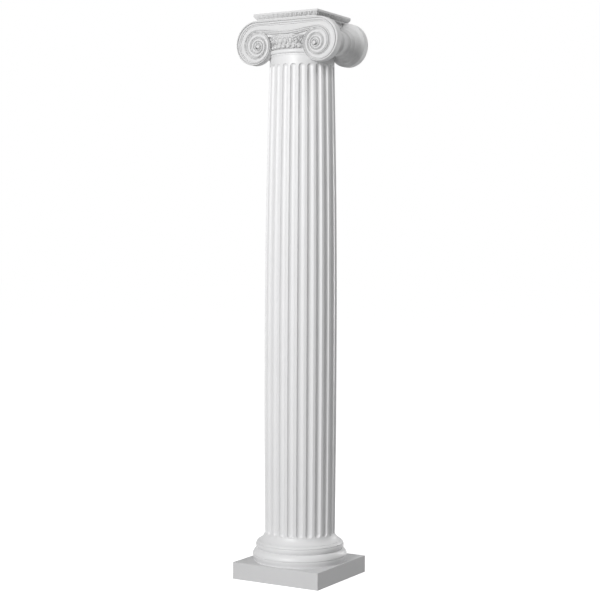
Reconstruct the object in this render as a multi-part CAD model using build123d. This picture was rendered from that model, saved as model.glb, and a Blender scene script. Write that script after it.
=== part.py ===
"""Three-quarter Ionic column: plinth, base moulding, fluted shaft and carved capital.

The column is a hollow ring in plan with one quarter left open, so that it closes
round the outside corner of a wall whose corner reaches the column's axis.
Millimetres, +Z up.  The origin is on the column's axis, at the underside of the plinth.
The front, with the two scrolls of the capital, faces -Y.  The open quarter is the one
behind on the left, with x below zero and y above zero.
"""
from build123d import *
from math import cos, exp, hypot, pi, sin, sqrt
import os

# Plinth
plinth_margin = 5.5
plinth_height = 73.0

# Base moulding, from its foot up
base_foot_height = 7.0
base_foot_inset = 5.5
lower_roll_reach = 13.5
lower_roll_bulge = 32.0
lower_roll_height = 47.0
upper_roll_reach = 11.5
upper_roll_bulge = 22.0
upper_roll_height = 34.0
base_line_depth = 2.0
base_line_width = 3.0
lower_line_rise = 20.0
upper_line_rise = 23.0

# Shaft
shaft_height = 2119.0
wall = 30.0
foot_flare_reach = 27.0
foot_flare_height = 32.0
foot_flare_hollow = 5.5
foot_radius = 154.0
belly_swell = 3.2
belly_height = 839.0
neck_radius = 139.6
flute_count = 24
flute_radius = 16.5
flute_depth = 11.0
flute_sections = 5
flute_end_radius = 13.2
flute_foot_run = 3.0
flute_neck_gap = 35.0
neck_fillet_height = 8.0
neck_fillet_radius = 142.0
neck_ring_height = 17.0
neck_ring_radius = 147.0

# Capital
capital_height = 130.0
capital_depth = 277.0
relief = 7.0
eye_spread = 278.0
eye_drop = 111.0
eye_radius = 8.5
eye_stand = 3.5
eye_crown_radius = 6.0
scroll_decay = 0.5
scroll_turns = 2.0
border_join_turn = 0.87
scroll_lean_out = 0.20
scroll_lean_up = 0.05
scroll_rib = 0.15
arcs_per_turn = 4
scroll_rim_depth = 35.0
channel_sag = 58.0
channel_border = 13.0
bell_seat_radius = 138.0
bell_foot_height = 4.0
bead_radius = 7.0
bead_length = 15.0
bead_count = 36
beads_each_way = 3
echinus_foot_radius = 139.0
echinus_radius = 150.0
echinus_height = 42.0
egg_count = 24
eggs_each_way = 2
egg_radius = 13.0
egg_drop = 20.0
egg_fullness = 0.72
egg_frame = 3.0
dart_width = 5.0
bolster_shift_out = 24.0
bolster_shift_up = 12.0
bolster_rim_radius = 76.0
bolster_waist_radius = 52.0
bolster_belt = 36.0
bolster_rings = 4
bolster_flare = 1.5
bolster_ring_depth = 2.0
neck_clearance = 1.0
bed = 2.0

# Abacus, the carved slab at the head of the capital
abacus_height = 28.0
abacus_width = 316.0
abacus_depth = 292.0
abacus_overhang = 10.7
abacus_band = 8.0
abacus_lip = 4.0
abacus_swell_out = 8.0
abacus_swell_up = 7.2
tongue_width = 32.0
tongue_gap = 8.0

# Heights of the seats, stacked from the ground
plinth_top = plinth_height
base_top = plinth_top + base_foot_height + lower_roll_height + upper_roll_height
shaft_top = base_top + shaft_height
capital_top = shaft_top + capital_height
column_top = capital_top + abacus_height

# Turn that sets a corner outwards, and keeps a seam out of the planes of the open quarter
seam_turn = 45.0

# Alignment that sets a solid over its place
standing = (Align.CENTER, Align.CENTER, Align.MIN)

# Radii that follow from the shaft's foot
belly_radius = foot_radius + belly_swell
foot_flare_radius = foot_radius + foot_flare_reach
upper_roll_radius = foot_flare_radius + upper_roll_reach
lower_roll_radius = upper_roll_radius + lower_roll_reach
plinth_side = 2 * (lower_roll_radius + plinth_margin)

# Radii of the hollow
foot_bore = foot_radius - wall
neck_bore = neck_radius - wall


def open_quarter(z_low, z_high):
    """The quarter of space that the wall's corner takes."""
    reach = plinth_side
    block = Box(reach, reach, z_high - z_low, align=(Align.MAX, Align.MIN, Align.MIN))
    return Pos(0, 0, z_low) * block


def bore(radius, z_low, z_high):
    """The round hollow along the axis."""
    return Pos(0, 0, z_low) * Cylinder(radius, z_high - z_low, align=standing)


def turned(outline):
    """Turn a closed outline of (radius, height) through the three quarters that are kept."""
    face = make_face(outline)
    return Rot(0, 0, 180) * revolve(Plane.XZ * face, Axis.Z, 270)


def shaft_radius(z):
    """Radius of the shaft over the flutes: it swells to the belly and tapers to the neck."""
    rise = z - base_top
    low = foot_flare_height
    high = shaft_height - neck_fillet_height - neck_ring_height
    if rise < belly_height:
        share = (belly_height - rise) / (belly_height - low)
        return belly_radius - (belly_radius - foot_radius) * share**2
    share = (rise - belly_height) / (high - belly_height)
    return belly_radius - (belly_radius - neck_radius) * share**2


def line_notch(radius, z):
    """A fine line cut round a roll, as a ring of triangular section."""
    outline = Polyline(
        (radius - base_line_depth, z),
        (radius + base_line_depth, z + base_line_width),
        (radius + base_line_depth, z - base_line_width),
        close=True,
    )
    return turned(outline)


def make_plinth():
    """Square slab under the base."""
    slab = Box(plinth_side, plinth_side, plinth_height, align=standing)
    slab -= bore(foot_bore, 0, plinth_top)
    return slab - open_quarter(0, plinth_top)


def roll_radius(crown, bulge, z_middle, z):
    """Radius at height z of a roll whose section is an arc of the radius bulge."""
    return crown - bulge + sqrt(bulge**2 - (z - z_middle) ** 2)


def make_base():
    """Two rolls on a low foot, each with a fine line cut round it."""
    z0 = plinth_top
    z1 = z0 + base_foot_height
    z2 = z1 + lower_roll_height
    z3 = base_top
    base_foot_radius = lower_roll_radius - base_foot_inset
    foot_reach = lower_roll_bulge - base_foot_inset
    lower_middle = z1 + sqrt(lower_roll_bulge**2 - foot_reach**2)
    crease = roll_radius(lower_roll_radius, lower_roll_bulge, lower_middle, z2)
    upper_middle = z2 + sqrt(upper_roll_bulge**2 - (crease - upper_roll_radius + upper_roll_bulge) ** 2)
    shoulder = roll_radius(upper_roll_radius, upper_roll_bulge, upper_middle, z3)
    outline = [
        Line((foot_bore, z0), (base_foot_radius, z0)),
        Line((base_foot_radius, z0), (base_foot_radius, z1)),
        ThreePointArc((base_foot_radius, z1), (lower_roll_radius, lower_middle), (crease, z2)),
        ThreePointArc((crease, z2), (upper_roll_radius, upper_middle), (shoulder, z3)),
        Line((shoulder, z3), (foot_bore, z3)),
        Line((foot_bore, z3), (foot_bore, z0)),
    ]
    moulding = turned(outline)
    lower_line = z1 + lower_line_rise
    upper_line = z2 + upper_line_rise
    lower_line_radius = roll_radius(lower_roll_radius, lower_roll_bulge, lower_middle, lower_line)
    moulding -= line_notch(lower_line_radius, lower_line)
    upper_line_radius = roll_radius(upper_roll_radius, upper_roll_bulge, upper_middle, upper_line)
    moulding -= line_notch(upper_line_radius, upper_line)
    return moulding


def make_flute(z_low, z_high):
    """One flute's waste: a tapering rod along the shaft's swell, with round ends."""
    sections = []
    for step in range(flute_sections):
        z = z_low + (z_high - z_low) * step / (flute_sections - 1)
        share = shaft_radius(z) / belly_radius
        place = shaft_radius(z) + (flute_radius - flute_depth) * share
        sections.append(Pos(place, 0, z) * Rot(0, 0, seam_turn) * Circle(flute_radius * share))
    rod = loft(sections)
    ends = rod.faces().sort_by(Axis.Z)
    return fillet([*ends[0].edges(), *ends[-1].edges()], flute_end_radius)


def make_shaft():
    """Fluted shaft with a flared foot and, at the neck, a fillet and a ring."""
    z0 = base_top
    z1 = z0 + foot_flare_height
    z2 = shaft_top - neck_ring_height - neck_fillet_height
    z3 = shaft_top - neck_ring_height
    z4 = shaft_top
    belly = base_top + belly_height
    swell = []
    for low, high in ((z1, belly), (belly, z2)):
        middle = (low + high) / 2
        swell.append(ThreePointArc(*[(shaft_radius(z), z) for z in (low, middle, high)]))
    chord = hypot(foot_flare_radius - foot_radius, foot_flare_height)
    mid_radius = (foot_flare_radius + foot_radius) / 2 - foot_flare_hollow * foot_flare_height / chord
    mid_height = (z0 + z1) / 2 - foot_flare_hollow * (foot_flare_radius - foot_radius) / chord
    ring_middle = (z3 + z4) / 2
    ring_edge = neck_ring_radius - neck_ring_height / 4
    outline = [
        Line((foot_bore, z0), (foot_flare_radius, z0)),
        ThreePointArc((foot_flare_radius, z0), (mid_radius, mid_height), (foot_radius, z1)),
        *swell,
        Line((neck_radius, z2), (neck_fillet_radius, z2)),
        Line((neck_fillet_radius, z2), (neck_fillet_radius, z3)),
        Line((neck_fillet_radius, z3), (ring_edge, z3)),
        ThreePointArc((ring_edge, z3), (neck_ring_radius, ring_middle), (ring_edge, z4)),
        Line((ring_edge, z4), (neck_bore, z4)),
        Line((neck_bore, z4), (neck_bore, z2)),
        Polyline((neck_bore, z2), (belly_radius - wall, belly), (foot_bore, z1)),
        Line((foot_bore, z1), (foot_bore, z0)),
    ]
    shaft = turned(outline)
    flute = make_flute(z1 - flute_foot_run, z2 - flute_neck_gap)
    pitch = 360 / flute_count
    quarter = flute_count // 4
    flutes = [Rot(0, 0, 180 + pitch * step) * flute for step in range(3 * quarter + 1)]
    return shaft - flutes


def scroll_point(turn, share=1.0):
    """A point of the right scroll's spiral, which shrinks by the same share in each turn."""
    angle = pi / 2 - 2 * pi * turn
    size = share * scroll_size() * exp(-scroll_decay * turn)
    return (
        eye_spread / 2 + size * (cos(angle) + scroll_lean_out),
        eye_height() + size * (sin(angle) + scroll_lean_up),
    )


def eye_height():
    """Height of the scrolls' eyes."""
    return capital_top - eye_drop


def scroll_start():
    """Turn at which the spiral runs level, where it leaves the straight rim under the abacus."""
    angle = pi / 2
    for _ in range(8):
        angle = pi / 2 + scroll_decay / (2 * pi) * (sin(angle) + scroll_lean_up)
    return (pi / 2 - angle) / (2 * pi)


def scroll_size():
    """Size of the spiral that brings its top level with the underside of the abacus."""
    turn = scroll_start()
    angle = pi / 2 - 2 * pi * turn
    return eye_drop / (exp(-scroll_decay * turn) * (sin(angle) + scroll_lean_up))


def spiral(first, last, share=1.0):
    """Curve along the scroll from one turn to another, in arcs of about a quarter turn."""
    count = round(abs(last - first) * arcs_per_turn)
    step = (last - first) / count
    arcs = []
    for index in range(count):
        turns = [first + step * (index + part) for part in (0, 0.5, 1)]
        arcs.append(ThreePointArc(*[scroll_point(turn, share) for turn in turns]))
    return arcs


def sagging_border(end, middle, slope):
    """Right half of a border that leaves the scroll at a slope and lies level at the middle."""
    first = TangentArc(end, ((end.X + middle[0]) / 2, (end.Y + middle[1]) / 2), tangent=(-1, slope))
    return [first, TangentArc(middle, first @ 1, tangent=(1, 0))]


def joined_halves(edges):
    """Face closed by edges drawn from the middle line round the right side, and by their mirror image."""
    return make_face(edges + [mirror(edge, Plane.YZ) for edge in edges])


def front_outline():
    """Outline of both scrolls and of the straight channel between them."""
    start = scroll_start()
    turn = spiral(start, start + border_join_turn)
    low = (0, capital_top - channel_sag - channel_border)
    under = sagging_border(turn[-1] @ 1, low, -0.2)
    return joined_halves([Line((0, capital_top), turn[0] @ 0), *turn, *under])


def channel_outline():
    """The sunk channel: level between the scrolls, then winding in to both eyes."""
    start = scroll_start()
    rib = 1 - scroll_rib
    outer = spiral(start, scroll_turns, rib)
    inner = spiral(scroll_turns + 1, start + 1)
    sag = sagging_border(inner[-1] @ 1, (0, capital_top - channel_sag), 0)
    rim = Line((0, (outer[0] @ 0).Y), outer[0] @ 0)
    return joined_halves([rim, *outer, Line(outer[-1] @ 1, inner[0] @ 0), *inner, *sag])


def both_sides(shape):
    """A shape with its mirror image across the column's middle."""
    return shape + mirror(shape, Plane.YZ)


def stand(face, y_low, y_high):
    """Raise a face drawn in (x, z) between two distances in front of the axis."""
    return extrude(Plane.XZ.offset(y_low) * face, y_high - y_low)


def make_bolster():
    """The turned side of the right scroll, waisted and ringed, from face to face."""
    half = capital_depth / 2 - scroll_rim_depth
    root = half + scroll_rim_depth / 4
    belt = bolster_belt / 2
    rise = bolster_rim_radius - bolster_waist_radius

    def flare(y):
        return bolster_waist_radius + rise * (max(0, y - belt) / (half - belt)) ** bolster_flare

    edges = []
    stops = [belt + (half - belt) * step / bolster_rings for step in range(bolster_rings + 1)]
    for near, far in zip(stops, stops[1:]):
        edges.append(SagittaArc((flare(near), near), (flare(far), far), bolster_ring_depth))
    edges.append(Polyline((flare(half), half), (flare(half), root), (0, root), (0, 0)))
    edges.append(Polyline((0, 0), (bolster_waist_radius, 0), (bolster_waist_radius, belt)))
    turned_half = revolve(make_face(edges), Axis.Y, 360)
    body = turned_half + mirror(turned_half, Plane.XZ)
    return Pos(eye_spread / 2 + bolster_shift_out, 0, eye_height() + bolster_shift_up) * body


def make_scrolls():
    """Scrolls, channels and bolsters, the same on the front and the back."""
    face_line = capital_depth / 2
    floor_line = face_line - relief
    rim_back = face_line - scroll_rim_depth
    slab = stand(front_outline(), rim_back, face_line)
    slab -= stand(channel_outline(), floor_line, face_line + relief)
    for side in (-1, 1):
        eye = Plane.XZ.offset(floor_line) * Pos(side * eye_spread / 2, eye_height(), 0)
        height = relief + eye_stand
        slab += eye * Cone(eye_radius, eye_crown_radius, height, align=standing)
    core_foot = shaft_top + bell_foot_height + 2 * bead_radius + echinus_height - bed
    core = Pos(0, 0, core_foot) * Box(
        eye_spread, 2 * floor_line - relief, capital_top - core_foot, align=standing
    )
    return slab + mirror(slab, Plane.XZ) + core + both_sides(make_bolster())


def make_egg():
    """An egg, round above and drawn out below, with its widest part at the origin."""
    crown = CenterArc((0, 0), egg_radius, 0, 90)
    tip = (0, -egg_drop)
    cheek = (egg_radius * egg_fullness, -egg_drop * egg_fullness)
    side = Polyline((egg_radius, 0), cheek, tip, (0, egg_radius))
    return revolve(Plane.XZ * make_face([crown, side]), Axis.Z, 360)


def make_bell():
    """The round part under the channel: seat, bead row and egg band."""
    z0 = shaft_top
    z1 = z0 + bell_foot_height
    z2 = z1 + 2 * bead_radius
    z3 = z2 + echinus_height
    outline = [
        Polyline((0, z0), (bell_seat_radius, z0), (bell_seat_radius, z2), (echinus_foot_radius, z2)),
        RadiusArc((echinus_foot_radius, z2), (echinus_radius, z3), -echinus_height),
        Polyline((echinus_radius, z3), (0, z3), (0, z0)),
    ]
    bell = turned(outline)
    egg_place = echinus_radius - egg_radius
    egg_middle = z3 - egg_frame - egg_radius
    niche_height = echinus_height - 2 * egg_frame
    niche = Cylinder(egg_radius + egg_frame, niche_height, align=standing)
    dart = Rot(0, 0, seam_turn) * Box(dart_width, dart_width, niche_height, align=standing)
    bead = Rot(90, 0, 0) * Cylinder(bead_radius, bead_length)
    egg = Rot(0, 0, seam_turn) * make_egg()
    quarter = open_quarter(z0, z3)
    niches = []
    ornaments = []
    for facing in (-90, 90):
        for step in range(-eggs_each_way, eggs_each_way + 1):
            turn = Rot(0, 0, facing + step * 360 / egg_count)
            niches.append(turn * Pos(echinus_radius, 0, z2 + egg_frame) * niche)
            ornaments.append(turn * Pos(egg_place, 0, egg_middle) * egg)
        for step in range(-eggs_each_way, eggs_each_way):
            turn = Rot(0, 0, facing + (step + 0.5) * 360 / egg_count)
            ornaments.append(turn * Pos(echinus_radius - dart_width / 2, 0, z2 + egg_frame) * dart)
        for step in range(-beads_each_way, beads_each_way + 1):
            turn = Rot(0, 0, facing + step * 360 / bead_count)
            ornaments.append(turn * Pos(bell_seat_radius, 0, z1 + bead_radius) * bead)
    return bell - niches + [ornament - quarter for ornament in ornaments]


def moulded_edge(span, length):
    """A bar whose section is the abacus moulding, of a given span, along a given length."""
    z0 = capital_top
    z1 = z0 + abacus_lip
    z2 = column_top - abacus_band
    z3 = column_top
    foot = span / 2 - abacus_overhang
    top = span / 2
    right = [
        Line((0, z0), (foot, z0)),
        Line((foot, z0), (foot, z1)),
        ThreePointArc((foot, z1), (foot + abacus_swell_out, z1 + abacus_swell_up), (top, z2)),
        Line((top, z2), (top, z3)),
        Line((top, z3), (0, z3)),
        Line((0, z3), (0, z0)),
    ]
    face = make_face(right)
    return both_sides(stand(face, -length, length))


def make_abacus():
    """Moulded slab, its edge divided into tongues by fine upright grooves."""
    slab = moulded_edge(abacus_width, abacus_depth)
    slab &= Rot(0, 0, 90) * moulded_edge(abacus_depth, abacus_width)
    grooves = []
    for span, reach, turn in ((abacus_width, abacus_depth, 0), (abacus_depth, abacus_width, 90)):
        count = round(span / tongue_width)
        pitch = (span - 2 * abacus_overhang) / count
        height = abacus_height - abacus_band - abacus_lip
        groove = Box(tongue_gap, tongue_gap, height, align=standing)
        for step in range(1, count):
            along = pitch * (step - count / 2)
            for side in (-1, 1):
                across = side * (reach / 2 - abacus_overhang / 2)
                place = Rot(0, 0, turn) * Pos(along, across, capital_top + abacus_lip)
                grooves.append(place * Rot(0, 0, seam_turn) * groove)
    return slab - grooves


def make_capital():
    """Capital with its abacus: one carved piece that sits on the neck of the shaft."""
    lowest = capital_top - 2 * eye_drop
    quarter = open_quarter(lowest, column_top)
    carved = make_bell() + (make_scrolls() - quarter)
    carved += make_abacus() - quarter
    carved -= bore(neck_ring_radius + neck_clearance, lowest, shaft_top)
    return carved - bore(neck_bore, lowest, column_top)


def main():
    os.makedirs("parts", exist_ok=True)
    pieces = {
        "plinth": make_plinth(),
        "base_moulding": make_base(),
        "shaft": make_shaft(),
        "capital": make_capital(),
    }
    for name, piece in pieces.items():
        solids = piece.solids()
        piece = solids[0] if len(solids) == 1 else piece
        print(name, len(solids), "solid", round(piece.volume), "mm3")
        export_step(piece, f"parts/{name}.step")


main()
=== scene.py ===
from math import atan2, ceil, cos, exp, hypot, pi, radians, sin, sqrt

import bmesh
import bpy
import numpy as np
from mathutils import Matrix, Vector


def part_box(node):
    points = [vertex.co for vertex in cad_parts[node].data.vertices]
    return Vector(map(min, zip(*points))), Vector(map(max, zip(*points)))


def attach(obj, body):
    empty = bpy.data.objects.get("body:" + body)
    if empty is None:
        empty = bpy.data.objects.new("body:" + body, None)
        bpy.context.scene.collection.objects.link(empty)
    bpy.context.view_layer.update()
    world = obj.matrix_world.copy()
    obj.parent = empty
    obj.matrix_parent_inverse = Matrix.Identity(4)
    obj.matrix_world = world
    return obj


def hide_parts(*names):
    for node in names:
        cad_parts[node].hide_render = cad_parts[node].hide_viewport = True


bl_info = {
    "name": "Three-quarter Ionic column",
    "version": (1, 0, 0),
    "blender": (4, 5, 0),
    "location": "3D View > Sidebar > Column",
    "description": "Turns, flutes and carves a three-quarter Ionic column on its packed frame",
    "category": "Object",
}

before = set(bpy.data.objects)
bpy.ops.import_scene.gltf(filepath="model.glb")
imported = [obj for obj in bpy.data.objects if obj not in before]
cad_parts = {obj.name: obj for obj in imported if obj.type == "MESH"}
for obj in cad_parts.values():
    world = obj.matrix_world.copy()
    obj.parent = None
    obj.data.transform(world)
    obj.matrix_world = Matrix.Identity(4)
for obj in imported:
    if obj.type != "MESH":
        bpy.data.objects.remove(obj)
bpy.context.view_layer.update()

# Seats of the four pieces, in metres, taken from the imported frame
plinth_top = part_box("plinth")[1].z
base_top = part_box("base_moulding")[1].z
shaft_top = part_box("shaft")[1].z
column_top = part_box("capital")[1].z

# How far ornament stays behind the cut faces of the open quarter, and the ringed side behind it
CUT_SINK = 0.0006
SIDE_SINK = 2 * CUT_SINK

# The kept three quarters, as angles round the axis from +X
ARC_FROM = radians(180)
ARC_TO = radians(450)

# Edges sharper than this angle stay sharp in the shading
CREASE = radians(32)


# Settings that a user would change


def length_property(name, description, default):
    return bpy.props.FloatProperty(
        name=name, description=description, default=default, min=0.0, unit="LENGTH", precision=4
    )


def share_property(name, description, default):
    return bpy.props.FloatProperty(
        name=name, description=description, default=default, min=0.0, max=1.0, subtype="FACTOR"
    )


def colour_property(name, description, default):
    return bpy.props.FloatVectorProperty(
        name=name, description=description, default=default, size=3, min=0.0, max=1.0, subtype="COLOR"
    )


def count_property(name, description, default, low, high):
    return bpy.props.IntProperty(name=name, description=description, default=default, min=low, max=high)


def number_property(name, description, default, low, high):
    return bpy.props.FloatProperty(name=name, description=description, default=default, min=low, max=high)


def angle_property(name, description, degrees):
    return bpy.props.FloatProperty(
        name=name, description=description, default=radians(degrees), subtype="ANGLE"
    )


def power_property(name, description, default):
    return bpy.props.FloatProperty(
        name=name, description=description, default=default, min=0.0, unit="POWER"
    )


class BaseSettings(bpy.types.PropertyGroup):
    """Sizes of the moulding under the shaft."""

    foot_radius: length_property("Foot radius", "Radius of the low foot", 0.2005)
    foot_height: length_property("Foot height", "Height of the low foot", 0.007)
    lower_crown: length_property("Lower roll radius", "Widest radius of the lower roll", 0.206)
    lower_bulge: length_property("Lower roll bulge", "Radius of the lower roll's section", 0.032)
    lower_height: length_property("Lower roll height", "Height of the lower roll", 0.047)
    lower_line: length_property("Lower line", "Height of the fine line on the lower roll", 0.020)
    upper_crown: length_property("Upper roll radius", "Widest radius of the upper roll", 0.1925)
    upper_bulge: length_property("Upper roll bulge", "Radius of the upper roll's section", 0.022)
    upper_line: length_property("Upper line", "Height of the fine line on the upper roll", 0.023)
    line_depth: length_property("Line depth", "Depth of the fine lines", 0.0036)
    line_width: length_property("Line half width", "Half the width of the fine lines", 0.0019)


class ShaftSettings(bpy.types.PropertyGroup):
    """Sizes of the fluted shaft."""

    flutes: count_property("Flutes", "Number of flutes in a full round", 24, 8, 40)
    flute_radius: length_property("Flute radius", "Radius of a flute's hollow at the belly", 0.0165)
    flute_depth: length_property("Flute depth", "Depth of a flute at the belly", 0.011)
    flute_foot_run: length_property("Flute foot run", "How far the flutes run into the flare", 0.003)
    flute_neck_gap: length_property("Flute neck gap", "Height from the flutes' heads to the fillet", 0.035)
    flare_radius: length_property("Flare radius", "Radius of the flared foot", 0.181)
    flare_height: length_property("Flare height", "Height of the flared foot", 0.032)
    flare_hollow: length_property("Flare hollow", "How far the flare is hollowed", 0.0055)
    foot_groove: length_property("Foot groove", "Depth of the fine groove under the flare", 0.0035)
    foot_radius: length_property("Foot radius", "Radius of the shaft over the flare", 0.154)
    belly_radius: length_property("Belly radius", "Widest radius of the shaft", 0.1572)
    belly_height: length_property("Belly height", "Height of the widest place over the base", 0.839)
    neck_radius: length_property("Neck radius", "Radius of the shaft under the fillet", 0.1396)
    fillet_radius: length_property("Fillet radius", "Radius of the neck's fillet", 0.142)
    fillet_height: length_property("Fillet height", "Height of the neck's fillet", 0.008)
    neck_groove: length_property("Neck groove", "Size of the fine groove under the neck's ring", 0.003)
    ring_radius: length_property("Ring radius", "Radius of the neck's ring", 0.147)
    ring_height: length_property("Ring height", "Height of the neck's ring", 0.017)
    wall: length_property("Wall", "Thickness of the hollow shaft's wall", 0.030)


class ScrollSettings(bpy.types.PropertyGroup):
    """Sizes of the scrolls, the channel and the ringed sides."""

    eye_spread: length_property("Eye spread", "Distance between the eyes", 0.278)
    eye_drop: length_property("Eye drop", "Depth of the eyes under the slab", 0.111)
    eye_radius: length_property("Eye radius", "Radius of an eye", 0.0085)
    eye_stand: length_property("Eye stand", "How far an eye stands before the face", 0.0035)
    relief: length_property("Relief", "Depth of the channel", 0.007)
    decay: number_property("Decay", "Logarithmic shrinking of the scroll in one turn", 0.5, 0.1, 1.0)
    lean_out: share_property("Outward lean", "Sideways lean of the turns, as a share of their size", 0.20)
    lean_up: share_property("Upward lean", "Upward lean of the turns, as a share of their size", 0.05)
    turns: number_property("Turns", "Turns from the straight channel to the eye", 4.3, 2.0, 6.0)
    channel_sag: length_property("Channel sag", "Depth of the channel at the middle", 0.058)
    border: length_property("Border", "Height of the border under the channel at the middle", 0.013)
    face_depth: length_property("Face distance", "Distance from the axis to the scrolls' faces", 0.1385)
    rim_depth: length_property("Rim depth", "Depth of the rim behind the scrolls' faces", 0.035)
    waist_radius: length_property("Waist radius", "Smallest radius of the ringed sides", 0.052)
    belt: length_property("Belt", "Width of the plain belt round the waist", 0.036)
    belt_stand: length_property("Belt stand", "How far the belt stands out of the waist", 0.0025)
    side_out: length_property("Side shift", "Distance of the ringed side's axis outside the eye", 0.024)
    side_up: length_property("Side rise", "Height of the ringed side's axis over the eye", 0.012)
    rings: count_property("Rings", "Hollow rings on each half of a side", 4, 1, 8)
    ring_depth: length_property("Ring depth", "Depth of the hollow rings", 0.0055)


class BellSettings(bpy.types.PropertyGroup):
    """Sizes of the bead row and the egg band."""

    seat_radius: length_property("Seat radius", "Radius behind the bead row", 0.138)
    foot_height: length_property("Foot height", "Height of the groove under the bead row", 0.004)
    seat_groove: length_property("Seat groove", "Depth of the groove under the bead row", 0.006)
    bead_recess: length_property("Bead recess", "Depth of the channel that the beads lie in", 0.001)
    beads: count_property("Beads", "Number of beads in a full round", 36, 12, 72)
    bead_radius: length_property("Bead radius", "Radius of a bead", 0.007)
    bead_length: length_property("Bead length", "Length of a bead", 0.0155)
    foot_radius: length_property("Egg band foot", "Radius at the foot of the egg band", 0.139)
    head_radius: length_property("Egg band head", "Radius at the head of the egg band", 0.150)
    height: length_property("Egg band height", "Height of the egg band", 0.042)
    eggs: count_property("Eggs", "Number of eggs in a full round", 36, 8, 48)
    egg_radius: length_property("Egg radius", "Radius of an egg", 0.0086)
    egg_drop: length_property("Egg drop", "Length of an egg below its widest part", 0.016)
    leaf_root: length_property("Leaf root", "Distance of the leaves' roots from the middle", 0.090)
    leaf_width: length_property("Leaf half width", "Half the width of a corner leaf", 0.0034)
    leaf_bow: share_property("Leaf bow", "How far a leaf bends, as a share of its length", 0.16)
    niche_hollow: share_property("Niche hollow", "Depth of an egg's hollow, in its half widths", 0.6)
    lip_height: length_property("Lip height", "Height of the lip over the eggs", 0.008)
    lip_stand: length_property("Lip stand", "How far the lip stands out", 0.0015)
    egg_frame: length_property("Egg frame", "Width of the hollow round an egg", 0.002)


class SlabSettings(bpy.types.PropertyGroup):
    """Sizes of the carved slab on top."""

    width: length_property("Width", "Width of the slab across the scrolls", 0.316)
    depth: length_property("Depth", "Depth of the slab from front to back", 0.292)
    height: length_property("Height", "Height of the slab", 0.028)
    overhang: length_property("Overhang", "How far the moulding leans out", 0.0107)
    band: length_property("Band", "Height of the plain band on top", 0.008)
    lip: length_property("Lip", "Height of the plain lip at the foot", 0.004)
    tongue: length_property("Tongue", "Length of the edge that one carved tongue takes", 0.0228)
    groove: length_property("Groove", "Depth of the carving round the tongues", 0.006)


class FinishSettings(bpy.types.PropertyGroup):
    """Colours and surface of the white finish."""

    paint: colour_property("Paint", "Colour of the painted shaft and base", (0.77, 0.77, 0.775))
    primer: colour_property("Primer", "Colour of the plinth", (0.64, 0.64, 0.645))
    casting: colour_property("Casting", "Colour of the carved capital", (0.68, 0.68, 0.682))
    tone: share_property("Tone", "How far the colour strays over the surface", 0.03)
    paint_roughness: share_property("Paint roughness", "Roughness of the painted mouldings", 0.42)
    casting_roughness: share_property("Casting roughness", "Roughness of the capital", 0.55)


class StageSettings(bpy.types.PropertyGroup):
    """Camera, floor and lamps."""

    bearing: angle_property("Bearing", "Angle of the camera round the column", 30.46)
    turn: angle_property("Turn", "Angle round the upright at which the camera looks", 30.50)
    distance: length_property("Distance", "Distance of the camera from the axis", 6.263)
    height: length_property("Height", "Height of the camera", 1.4263)
    pitch: angle_property("Pitch", "Tilt of the camera", -1.99)
    roll: angle_property("Roll", "Roll of the camera", 0.276)
    lens: number_property("Lens", "Focal length in millimetres on a 36 mm frame", 86.25, 10.0, 500.0)
    floor: colour_property("Floor", "Colour of the floor", (0.55, 0.55, 0.55))
    sky: number_property("Sky", "Strength of the even light from all round", 0.17, 0.0, 1.0)
    key_power: power_property("Key power", "Power of the lamp in front", 308.0)
    rim_power: power_property("Rim power", "Power of the lamp behind on the right", 50.0)
    top_power: power_property("Top power", "Power of the lamp over the capital", 25.0)


# Building meshes


class Carving:
    """Sheets and caps of points that become one mesh."""

    def __init__(self):
        self.points = []
        self.faces = []
        self.count = 0

    def add(self, points):
        """Keep some points and say at which number they start."""
        first = self.count
        points = np.asarray(points, float).reshape(-1, 3)
        self.points.append(points)
        self.count += len(points)
        return first

    def sheet(self, grid, wrap=False):
        """Quads over a grid of points; wrap joins the last column to the first."""
        rows, columns = grid.shape[:2]
        first = self.add(grid)
        index = first + np.arange(rows * columns).reshape(rows, columns)
        if wrap:
            index = np.concatenate([index, index[:, :1]], axis=1)
        corners = [index[:-1, :-1], index[:-1, 1:], index[1:, 1:], index[1:, :-1]]
        self.faces.extend(np.stack(corners, axis=-1).reshape(-1, 4).tolist())

    def cap(self, loop, flip=False):
        """One flat face inside a loop of points."""
        first = self.add(loop)
        face = list(range(first, first + len(loop)))
        self.faces.append(face[::-1] if flip else face)

    def build(self, name, finish, replaces):
        """Join the sheets into an object that rides on the column."""
        mesh = bpy.data.meshes.new(name)
        mesh.from_pydata(np.concatenate(self.points).tolist(), [], self.faces)
        work = bmesh.new()
        work.from_mesh(mesh)
        bmesh.ops.remove_doubles(work, verts=work.verts, dist=1e-6)
        bmesh.ops.dissolve_degenerate(work, edges=work.edges, dist=1e-6)
        bmesh.ops.recalc_face_normals(work, faces=work.faces)
        work.to_mesh(mesh)
        work.free()
        mesh.shade_smooth()
        mesh.set_sharp_from_angle(angle=CREASE)
        piece = bpy.data.objects.new(name, mesh)
        bpy.context.scene.collection.objects.link(piece)
        mesh.materials.append(finish_named(finish))
        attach(piece, "root")
        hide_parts(replaces)

    def build_cast(self, name):
        """Join the sheets into a piece of the cast capital."""
        self.build(name, "cast_white", "capital")


def open_ring(carving, columns):
    """A ring with its section closed on itself, open over one quarter and capped at both ends."""
    carving.sheet(columns, wrap=True)
    carving.cap(columns[0])
    carving.cap(columns[-1], flip=True)


def on_ring(angle, section):
    """A section of (radius, height) points set up at an angle round the axis."""
    return [(radius * cos(angle), radius * sin(angle), z) for radius, z in section]


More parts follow.
